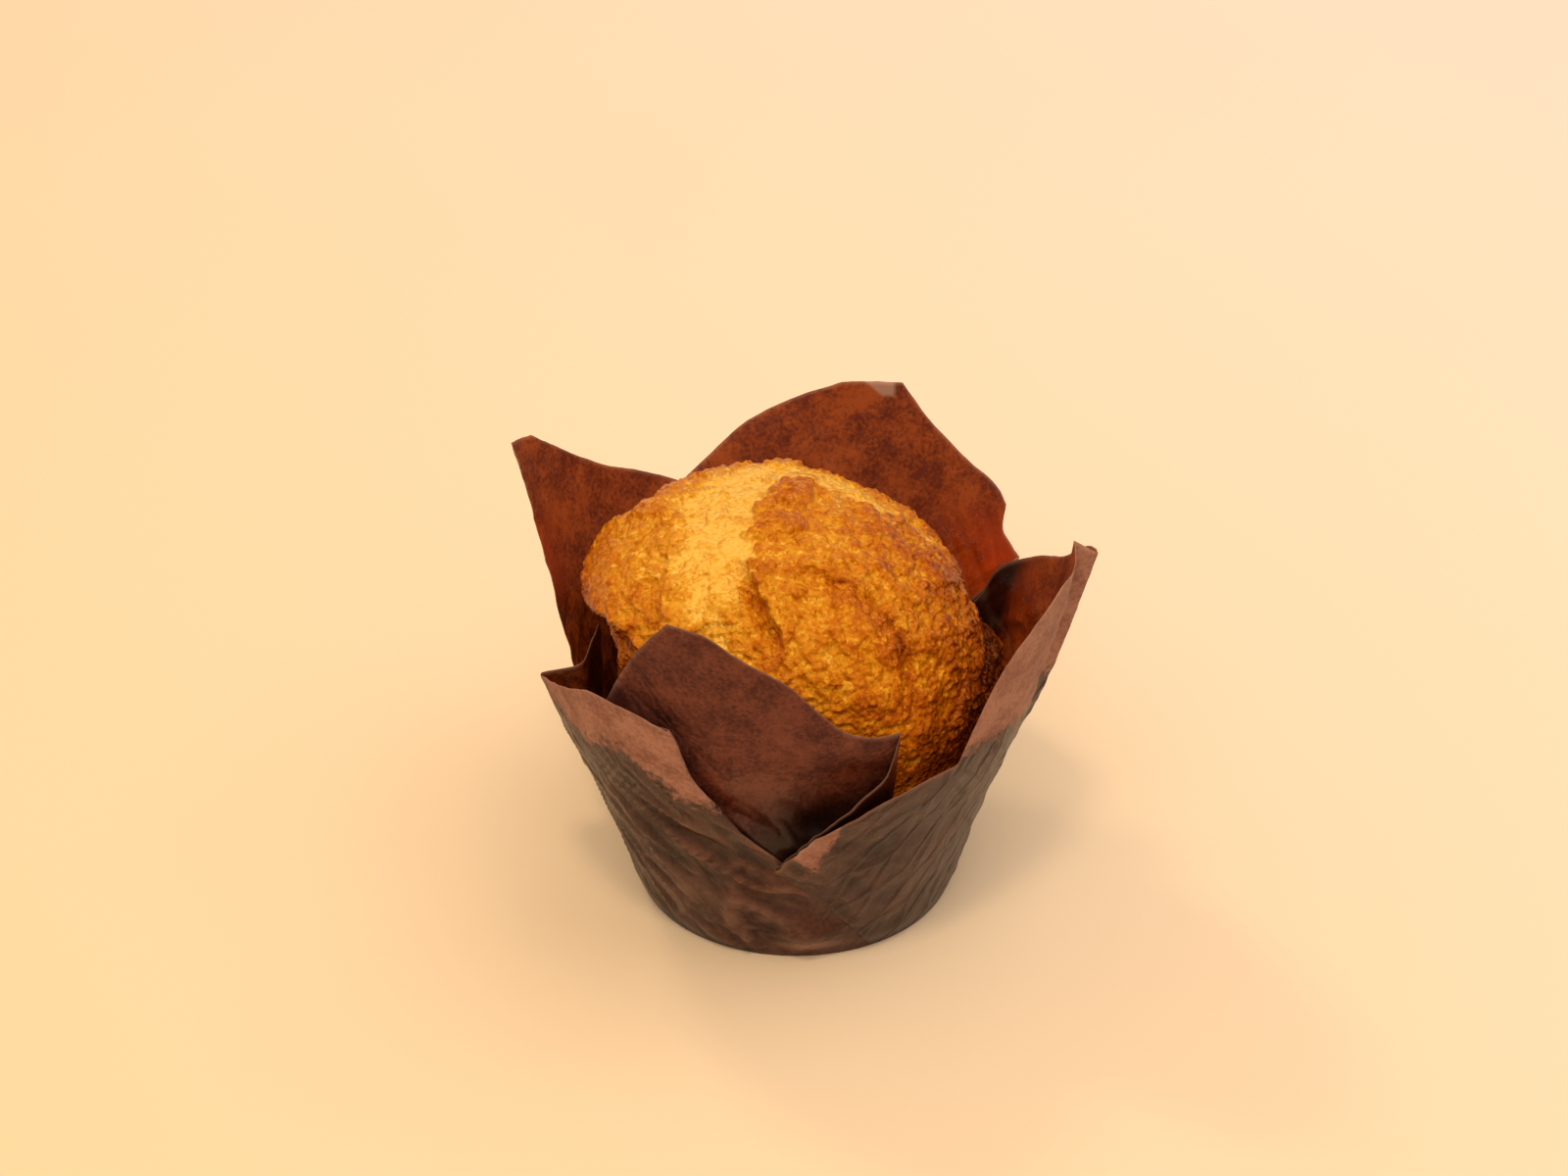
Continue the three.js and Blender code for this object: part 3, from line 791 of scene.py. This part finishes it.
        # the left panel's fold bows away from the front petal and runs in under the right one
        panel = ramp(foot, 585, 645) * (1 - ramp(foot, 645.2, FRONT_PETAL_START))
        under = 14 * np.clip(1 - z / 22, 0, 1) * ramp(z, 0, 2.5)
        bow = 4.5 * ramp(v, 0.45, 0.65) * (1 - ramp(v, 0.8, 1.0))
        azimuth = foot + (at - foot) * v + panel * (under - bow)
        plain = wall_radius(z)
        angle = np.radians(azimuth)
        place = np.stack([plain * np.cos(angle), plain * np.sin(angle), z], -1)
        shift, wear_and_highlight, hollow = self.crumple(place, azimuth, z)
        pressed = self.tight * ramp(z, 0, 3)
        apart = pressed + (self.layer_pitch - pressed) * ramp(z, 27, 42)
        # the front petal is tucked in behind its neighbours, which stand proud of it
        petal = (foot > FRONT_PETAL_START) & (foot < FRONT_PETAL_END)
        tucked = 2.6 * petal * bell(azimuth, 279, 15) * ramp(z, 26, 33) * (1 - ramp(z, 41, 50))
        left_panel = ramp(foot, LEFT_PANEL_START, 575) * (foot < LEFT_PANEL_END)
        right_petal = bell(foot, 297.5, 22) * (foot < RIGHT_PETAL_FRONT_END)
        proud = (0.75 * right_petal + 0.28 * left_panel) * ramp(z, 0, 4) * (1 - ramp(z, 34, 44))
        radius = (plain + (r - wall_radius(z_rim)) * v ** 2 + layer * apart - tucked + proud
                  + shift)
        wall = np.stack([radius * np.cos(angle), radius * np.sin(angle), z], -1)
        rings = np.linspace(0.02, 1, self.floor_rings, endpoint=False)[None, :, None]
        floor = wall[:, :1] * rings
        floor[..., 2] = self.thickness
        points = np.concatenate([floor, wall], axis=1)
        pad = self.floor_rings

        def padded(values: np.ndarray) -> np.ndarray:
            """Repeats a wall's first value over the floor rings."""
            return np.concatenate([np.repeat(values[:, :1], pad, axis=1), values], axis=1)

        on_petal = ramp(foot, FRONT_PETAL_START, FRONT_PETAL_FULL)
        ruddy = on_petal * ramp(z, 28, 33) + 0.45 * ramp(foot, 590, 625) * (1 - ramp(z, 22, 32))
        wear_and_highlight = wear_and_highlight * (1 - 0.9 * on_petal * (z > 20))
        # the cut edge has no fat in it and shows as a pale line 0.5 mm wide
        wear_and_highlight = np.maximum(wear_and_highlight, 0.8 * ramp(z, z_rim - 0.7, z_rim - 0.3))
        # and so does the tip of the rear petal, 2.5 mm deep, where it is folded over
        wear_and_highlight = np.maximum(wear_and_highlight, 2.4 * ramp(z, z_rim - 2.6, z_rim - 2.4) * (azimuth > 429)
                          * (azimuth < 436 + 2.0 * (z - z_rim)))
        # light comes through beside the cap on the right, and a little on the left
        glow = bell(azimuth, 34, 16) * ramp(z, 30, 44) * (1 - ramp(z, 44, 55)) \
            + 0.7 * bell(azimuth, 172, 13) * ramp(z, 42, 48) * (1 - ramp(z, 54, 61))
        # painted shade: the pockets and the crease hollows share one mask
        return {"points": points, "soak": padded(self.soak(foot, azimuth, z)),
                "wear_and_highlight": padded(wear_and_highlight), "ruddy": padded(ruddy), "glow": padded(glow),
                "pocket_shade": padded(np.maximum(self.pocket_shade(foot, azimuth, z), hollow))}

    def pocket_shade(self, foot: np.ndarray, azimuth: np.ndarray, z: np.ndarray) -> np.ndarray:
        """Share of painted shade in the dark pockets: behind the front fold and beside the cap.

        Args:
            foot: Azimuths of the points' columns at the foot, in degrees.
            azimuth: Azimuths of the points, in degrees.
            z: Heights of the points, in millimetres.

        Returns:
            Share of the painted shade's colour, from 0 to 1.
        """
        behind_fold = 0.85 * ramp(foot, FOLDED_BACK_START, FOLDED_BACK_FULL)
        beside_fold = 0.97 * ramp(foot, FRONT_PETAL_START, FRONT_PETAL_FULL) \
            * bell(azimuth, 274, 17) * ramp(z, 22, 25) * (1 - ramp(z, 31, 44))
        beside_cap = 1.25 * (foot > RIGHT_INNER_SIDE[0]) * (foot < RIGHT_INNER_SIDE[1]) \
            * bell(azimuth, 32, 11)
        tucked_pleat = 0.8 * (foot > TUCKED_PLEAT[0]) * (foot < TUCKED_PLEAT[1]) \
            * bell(azimuth, 186, 12) * ramp(z, 26, 34) * (1 - ramp(z, 44, 52))
        return np.clip(behind_fold + beside_fold + beside_cap + tucked_pleat, 0, 0.96)

    def soak(self, foot: np.ndarray, azimuth: np.ndarray, z: np.ndarray) -> np.ndarray:
        """How far butter has soaked in.

        Args:
            foot: Azimuths of the points' columns at the foot, in degrees.
            azimuth: Azimuths of the points, in degrees.
            z: Heights of the points, in millimetres.

        Returns:
            A number over 0.5 below the height that the butter has climbed to.
        """
        climbed = 44 + 2.5 * self.noise.at(np.stack([azimuth * 0.5, z * 0 + 5, z * 0 + 9], -1), 9)
        # a dry patch by the right petal's fold, and a dry band under the left panel's rim
        climbed = climbed - 20 * bell(azimuth, 273, 8) * (foot < RIGHT_PETAL_FRONT_END)
        climbed = climbed - 6 * ramp(azimuth, 590, 604) * (foot < 646)
        return np.clip(0.5 + (climbed - z) / 11, 0, 1)

    def build(self) -> bpy.types.Object:
        """Makes the cup as one closed sheet with a food side, an outside and a cut edge.

        Returns:
            The dressed piece, riding on the root body.
        """
        grids = self.sheet()
        inner = grids["points"]
        columns, rows = inner.shape[:2]
        along = np.roll(inner, -1, axis=0) - np.roll(inner, 1, axis=0)
        upward = np.empty_like(inner)
        upward[:, 1:-1] = inner[:, 2:] - inner[:, :-2]
        upward[:, 0], upward[:, -1] = inner[:, 1] - inner[:, 0], inner[:, -1] - inner[:, -2]
        outward = np.cross(along, upward)
        outward /= np.maximum(np.linalg.norm(outward, axis=-1, keepdims=True), 1e-9)
        outer = inner + outward * self.thickness
        outer[..., 2] = np.maximum(outer[..., 2], 0.0)
        centre = np.array([[0, 0, self.thickness], [0, 0, 0]], float)
        points = np.concatenate([inner.reshape(-1, 3), outer.reshape(-1, 3), centre])
        number = np.arange(columns * rows).reshape(columns, rows)
        here, there = number, np.roll(number, -1, axis=0)
        low, high = here[:, :-1], here[:, 1:]
        far_low, far_high = there[:, :-1], there[:, 1:]
        total = columns * rows
        food_side = np.stack([low, high, far_high, far_low], -1).reshape(-1, 4)
        outside = np.stack([low, far_low, far_high, high], -1).reshape(-1, 4) + total
        cut_edge = np.stack([here[:, -1] + total, there[:, -1] + total, there[:, -1],
                             here[:, -1]], -1)
        hub = 2 * total
        fans = np.concatenate([
            np.stack([np.full(columns, hub), here[:, 0], there[:, 0]], -1),
            np.stack([np.full(columns, hub + 1), there[:, 0] + total, here[:, 0] + total], -1)])
        piece = make_object("tulip_cup", points,
                            np.concatenate([food_side, outside, cut_edge]), fans)
        for name in ("soak", "wear_and_highlight", "ruddy", "glow", "pocket_shade"):
            values = grids[name].ravel()
            store(piece, name, np.concatenate([values, values, [1.0, 1.0]]))
        store(piece, "inside", np.concatenate([np.ones(total), np.zeros(total), [1.0, 0.0]]))
        piece.data.materials.append(BakingPaper().material())
        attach(piece, "root")
        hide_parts("paper_wrapper")
        return piece


# ------------------------------------------------------------------ the muffin
@dataclass(frozen=True)
class Lip:
    """A lip of crust with a drop on its right-hand side.

    Args:
        path: The lip as straight pieces, seen in plan.
        stray: Share of the crust's raggedness by which the lip wanders.
        reach: Distance over which the drop runs out, in millimetres.
        depth: Depth of the drop, in millimetres.
        browning_and_shade: How much painted shade darkens the drop beyond its surroundings.
    """

    path: Rows
    stray: float
    reach: float
    depth: float
    browning_and_shade: float

    def drop(self, plan: np.ndarray, ragged: np.ndarray) -> np.ndarray:
        """Share of the drop, from 1 at the lip to 0.

        Args:
            plan: Spots in plan, in millimetres.
            ragged: How ragged the crust is at each spot, in millimetres.

        Returns:
            One value for each spot.
        """
        nearest, side = beside_path(plan, self.path)
        return ramp(side + self.stray * ragged, -0.2, 0.35) * np.exp(-(nearest / self.reach) ** 2)


@dataclass
class Muffin:
    """The baked muffin: a body that filled the cup and a domed, split cap.

    Lengths are millimetres, azimuths degrees, and paths are corners seen in plan.

    Args:
        segments: Mesh columns round the axis.
        rings: Mesh rows from the bottom edge to the crown.
        profile: Half section from the bottom edge to the crown, as radius and height.
        cap_radius: Radius of the cap where lumps and slumps count in full.
        lumps: Broad swellings of the cap, as centre azimuth, half width and radial growth.
        slumps: Where the cap has sunk, as centre azimuth, half width and drop at its edge.
        split: Pale split between two plates of crust, from behind the crown to the left front.
        hollow: Hollow left behind under the lifted flap on the left.
        lips: Groove in the front of the cap, ledge right of it, edge of the lifted flap and
            torn edge on the right shoulder.
        noise: Noise that lays out the crust.
    """

    segments: int = 760
    rings: int = 340
    profile: Rows = ((25.3, 0.8), (27.9, 8), (31, 18), (33.1, 28), (33.9, 36), (34.1, 41),
                     (34.1, 45.5), (33.6, 49.5), (32.1, 54.5), (28.8, 59.3), (23.6, 63.4),
                     (16.5, 66.6), (8.2, 68.3), (0, 68.8))
    cap_radius: float = 33.6
    lumps: Rows = ((335, 40, 0.4), (15, 34, -3.8), (62, 28, -1.6), (161, 15, 2.3),
                   (178, 55, -1.3))
    slumps: Rows = ((345, 50, 4.5), (50, 30, 1.5))
    split: Rows = ((13, 8), (4, 11.5), (-6, 10), (-9.5, 2), (-10.5, -8), (-9.5, -15.5))
    hollow: Rows = ((-24, -14), (-23.8, -20))
    lips: tuple[Lip, ...] = (
        Lip(path=((-7.6, -16), (-5.6, -20), (-3, -26)),
            stray=0.5, reach=3.0, depth=2.5, browning_and_shade=0.14),
        Lip(path=((2, -16.2), (8, -16.6), (13.4, -18.8), (17.4, -24)),
            stray=0.9, reach=2.6, depth=1.0, browning_and_shade=0.14),
        Lip(path=((-20.2, -11), (-20.4, -15.5), (-21, -22.5)),
            stray=0.3, reach=3.0, depth=1.6, browning_and_shade=0.0),
        Lip(path=((26, 1), (18.5, 4.5), (16, 11), (10, 17)),
            stray=0.5, reach=4.0, depth=1.2, browning_and_shade=0.1))
    noise: SolidNoise = field(default_factory=lambda: SolidNoise(5))

    def section(self) -> np.ndarray:
        """Runs a smooth curve through the profile, with rows packed closer in the cap.

        Returns:
            Radius and height of each ring.
        """
        knots = np.array(self.profile, float)
        ghost = np.vstack([2 * knots[0] - knots[1], knots, knots[-1] + (knots[-1] - knots[-2])])
        t = np.linspace(0, 1, 16, endpoint=False)[:, None]
        pieces = []
        for p0, p1, p2, p3 in zip(ghost[:-3], ghost[1:-2], ghost[2:-1], ghost[3:]):
            pieces.append(0.5 * (2 * p1 + (p2 - p0) * t + (2 * p0 - 5 * p1 + 4 * p2 - p3) * t ** 2
                                 + (3 * p1 - p0 - 3 * p2 + p3) * t ** 3))
        dense = np.vstack([*pieces, knots[-1:]])
        dense[:, 0] = np.maximum(dense[:, 0], 0)
        steps = np.linalg.norm(np.diff(dense, axis=0), axis=1)
        steps *= np.where(dense[1:, 1] < 38, 0.35, 1.0)
        length = np.concatenate([[0.0], np.cumsum(steps)])
        wanted = np.linspace(0, length[-1], self.rings + 1)
        return np.stack([np.interp(wanted, length, dense[:, k]) for k in (0, 1)], -1)

    def shape(self) -> np.ndarray:
        """Turns the half section round the axis and gives it its lumps and dents.

        Returns:
            Points of the smooth muffin as rings by segments, the crown left out.
        """
        section = self.section()[:-1]
        r, z = section[:, :1], section[:, 1:]
        azimuth = np.arange(self.segments)[None, :] * 360 / self.segments
        # 0 in the cup and 1 in the free cap, which starts at 41 mm and is free by 50 mm
        cap = np.clip((z - 41) / 9, 0, 1)
        breadth = r / self.cap_radius
        growth = sum(amount * bell(azimuth, at, width) for at, width, amount in self.lumps)
        drop = sum(amount * bell(azimuth, at, width) for at, width, amount in self.slumps)
        # the inner pleat presses a dent into the side
        dent = 3.1 * bell(azimuth, 178, 26) * ramp(z, 6, 26) * (1 - ramp(z, 46.5, 50))
        # the cap overhangs on the left, and less far on the right
        under = 47.5 + 4.5 * bell(azimuth, 208, 22)
        neck = 3.0 * bell(azimuth, 195, 50) * ramp(z, 28, 41) * (1 - ramp(z, under, under + 3.5))
        neck += 2.1 * bell(azimuth, 18, 12) * ramp(z, 32, 38) * (1 - ramp(z, 44, 50))
        radius = r + cap * growth * breadth - dent - neck
        angle = np.radians(azimuth)
        # the whole cap sits a little to the left and to the rear
        lean_x, lean_y = -1.2, 0.6
        return np.stack([radius * np.cos(angle) + lean_x * cap,
                         radius * np.sin(angle) + lean_y * cap, z - cap * drop * breadth], -1)

    def relief(self, points: np.ndarray) -> tuple[np.ndarray, np.ndarray]:
        """Height of the crust over the smooth shape, and how far it has browned, with painted
        shade and light added.

        Args:
            points: Points of the smooth muffin, in millimetres.

        Returns:
            The shift along the normal in millimetres, and the degree of baking, with painted shade
            and light, of 0 to 1.
        """
        plan, z = points[..., :2], points[..., 2]
        azimuth = np.degrees(np.arctan2(points[..., 1], points[..., 0])) % 360
        top = ramp(z, 42, 49)
        rough = self.noise.layered(points, 9, 2)
        wander = 1.5 * self.noise.at(points + 11, 5) + 0.9 * self.noise.at(points + 23, 2)
        ragged = wander + 0.4 * self.noise.at(points + 37, 1)
        # the split has a torn edge against the front plate and fades out on its far side
        near, side = beside_path(plan, self.split)
        torn = 1 - ramp(near + 1.2 * ragged, 2.3, 4.2)
        faded = 1 - ramp(near + 2 * ragged, 4.0, 14.5)
        split = np.where(side > 0, faded, torn) * top
        hollow = (1 - ramp(beside_path(plan, self.hollow)[0] + 0.5 * ragged, 2.4, 3.4)) * top
        bumps = self.noise.at(points + 7, 3.6)
        plates = ramp(self.noise.at(points + 51, 6.5) + 0.12 * ragged, -0.06, 0.06)
        crumbs = 0.7 - 1.8 * np.abs(self.noise.at(points + 3, 2.0)) \
            + self.noise.at(points + 5, 1.0) * 0.5
        grainy = 1 - 0.55 * split
        rise = ramp(z, 32, 44)
        height = rise * (0.6 * rough + 0.4 * bumps + 0.55 * plates - 0.3)
        height += rise * grainy * 0.45 * crumbs
        height += -0.9 * split - 0.9 * hollow
        # a shallow waist where the cap leaves the cup
        height -= 0.3 * ramp(z, 28, 36) * (1 - ramp(z, 38, 46))
        # proud crust is browner, the low left and the crust below the cap's edge are darker,
        # painted shade darkens the right side and the shaded front right, and painted light pales
        # the left
        bake_and_shade = 0.40 + 0.08 * rough + 0.08 * bumps + 0.10 * plates + 0.09 * crumbs
        bake_and_shade += 0.2 * ramp(plan[..., 0], 8, 32) - 0.06 * ramp(-plan[..., 0], 0, 12)
        bake_and_shade += 0.3 * bell(azimuth, 190, 50) * (1 - ramp(z, 52, 58)) \
            + 0.06 * (1 - ramp(z, 40, 52)) + 0.6 * bell(azimuth, 350, 27) * (1 - ramp(z, 38, 52))
        # the split is paler crumb, and the hollow under the flap gets a little painted shade
        bake_and_shade += -0.36 * split + 0.06 * hollow
        # painted shade: each drop beside a lip is sunk and darkened
        for lip in self.lips:
            drop = lip.drop(plan, ragged) * top
            height -= lip.depth * drop
            bake_and_shade += lip.browning_and_shade * drop
        return height, np.clip(bake_and_shade, 0.02, 0.97)

    def build(self) -> bpy.types.Object:
        """Makes the muffin as one closed mesh.

        Returns:
            The dressed piece, riding on the root body.
        """
        smooth = self.shape()
        around = np.roll(smooth, -1, axis=1) - np.roll(smooth, 1, axis=1)
        upward = np.gradient(smooth, axis=0)
        normal = np.cross(around, upward)
        normal /= np.maximum(np.linalg.norm(normal, axis=-1, keepdims=True), 1e-9)
        height, bake_and_shade = self.relief(smooth)
        points = smooth + normal * height[..., None]
        crown = points[-1].mean(axis=0)
        rings, segments = smooth.shape[:2]
        number = np.arange(rings * segments).reshape(rings, segments)
        here, there = number, np.roll(number, -1, axis=1)
        sides = np.stack([here[:-1], there[:-1], there[1:], here[1:]], -1).reshape(-1, 4)
        hub = rings * segments
        fans = np.concatenate([
            np.stack([np.full(segments, hub), there[0], here[0]], -1),
            np.stack([np.full(segments, hub + 1), here[-1], there[-1]], -1)])
        bottom = np.array([0.0, 0.0, points[0, 0, 2]])
        piece = make_object("baked_muffin",
                            np.concatenate([points.reshape(-1, 3), [bottom, crown]]), sides, fans)
        store(piece, "bake_and_shade", np.concatenate([bake_and_shade.ravel(), [0.4, float(bake_and_shade[-1].mean())]]))
        piece.data.materials.append(GoldenCrust().material())
        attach(piece, "root")
        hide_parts("muffin")
        return piece


# ------------------------------------------------------------------ the studio
@dataclass(frozen=True)
class Softbox:
    """One square soft light that looks at the cup.

    Args:
        name: Name of the light.
        azimuth: Side that it stands on, in degrees.
        elevation: Height over the floor, in degrees.
        away: Distance from the cup in metres.
        size: Width of the light in metres.
        power: Power in watts.
        tint: Colour of the light as sRGB hex.
    """

    name: str
    azimuth: float
    elevation: float
    away: float
    size: float
    power: float
    tint: str = "#FFFFFF"

    def build(self) -> None:
        """Hangs the light and turns it to the middle of the cup, 30 mm over the floor."""
        a, e = np.radians(self.azimuth), np.radians(self.elevation)
        place = Vector((np.cos(e) * np.cos(a), np.cos(e) * np.sin(a), np.sin(e)))
        data = bpy.data.lights.new(self.name, "AREA")
        data.size, data.energy, data.color = self.size, self.power, linear(self.tint)[:3]
        light = bpy.data.objects.new(self.name, data)
        light.location = place * self.away + Vector((0, 0, 0.03))
        light.rotation_euler = (-place).to_track_quat("-Z", "Y").to_euler()
        bpy.context.scene.collection.objects.link(light)


@dataclass
class Studio:
    """Pale floor, soft light and the camera.

    Args:
        target: Point that the camera looks at, in millimetres.
        pitch: How far the camera looks down, in degrees.
        distance: Distance from the camera to the target, in millimetres.
        lens: Focal length in millimetres.
        sensor: Width of the camera's sensor in millimetres.
        floor_half: Half the width of the floor in millimetres.
        softboxes: The lights.
        air: Colour of the light from all round, as sRGB hex.
        air_strength: Strength of the light from all round.
    """

    target: tuple[float, float, float] = (-1.9, 0.0, 53.0)
    pitch: float = 30.0
    distance: float = 415.0
    lens: float = 60.0
    sensor: float = 36.0
    floor_half: float = 3000.0
    softboxes: tuple[Softbox, ...] = (
        Softbox("key", 350, 66, 2.5, 2.0, 22.5),
        Softbox("sparkle", 135, 52, 1.3, 0.22, 3.0, "#FFEBC8"),
        Softbox("glints", 262, 64, 1.3, 0.14, 4.0, "#FFEBC8"),
        Softbox("fill", 258, 48, 1.7, 1.0, 9.0))
    air: str = "#FFECD2"
    air_strength: float = 0.7

    def camera(self) -> None:
        """Sets the camera in front of the cup, looking down on it."""
        lean = np.radians(self.pitch)
        forward = Vector((0, float(np.cos(lean)), -float(np.sin(lean))))
        data = bpy.data.cameras.new("camera")
        data.lens, data.sensor_width = self.lens, self.sensor
        camera = bpy.data.objects.new("camera", data)
        camera.location = (Vector(self.target) - forward * self.distance) * MILLIMETRE
        camera.rotation_euler = forward.to_track_quat("-Z", "Y").to_euler()
        bpy.context.scene.collection.objects.link(camera)
        bpy.context.scene.camera = camera

    def floor(self) -> None:
        """Lays a pale cream floor, with the backdrop's painted fall-off of light."""
        half = self.floor_half
        corners = np.array([[-half, -half, 0], [half, -half, 0], [half, half, 0],
                            [-half, half, 0]])
        floor = make_object("floor", corners, np.array([[0, 1, 2, 3]]))
        floor.data.materials.append(Backdrop().material())

    def build(self) -> None:
        """Sets up everything that is not the object."""
        self.camera()
        self.floor()
        for softbox in self.softboxes:
            softbox.build()
        world = bpy.data.worlds.new("studio")
        world.use_nodes = True
        back = world.node_tree.nodes["Background"]
        back.inputs["Color"].default_value = linear(self.air)
        back.inputs["Strength"].default_value = self.air_strength
        bpy.context.scene.world = world
        bpy.context.scene.view_settings.view_transform = "Standard"


def main() -> None:
    """Builds the pieces in order, then the studio."""
    logging.basicConfig(level=logging.INFO, format="%(name)s: %(message)s")
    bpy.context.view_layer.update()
    for maker in (TulipCup(), Muffin()):
        piece = maker.build()
        LOG.info("%s: %d faces", piece.name, len(piece.data.polygons))
    Studio().build()


if __name__ == "__main__":
    main()
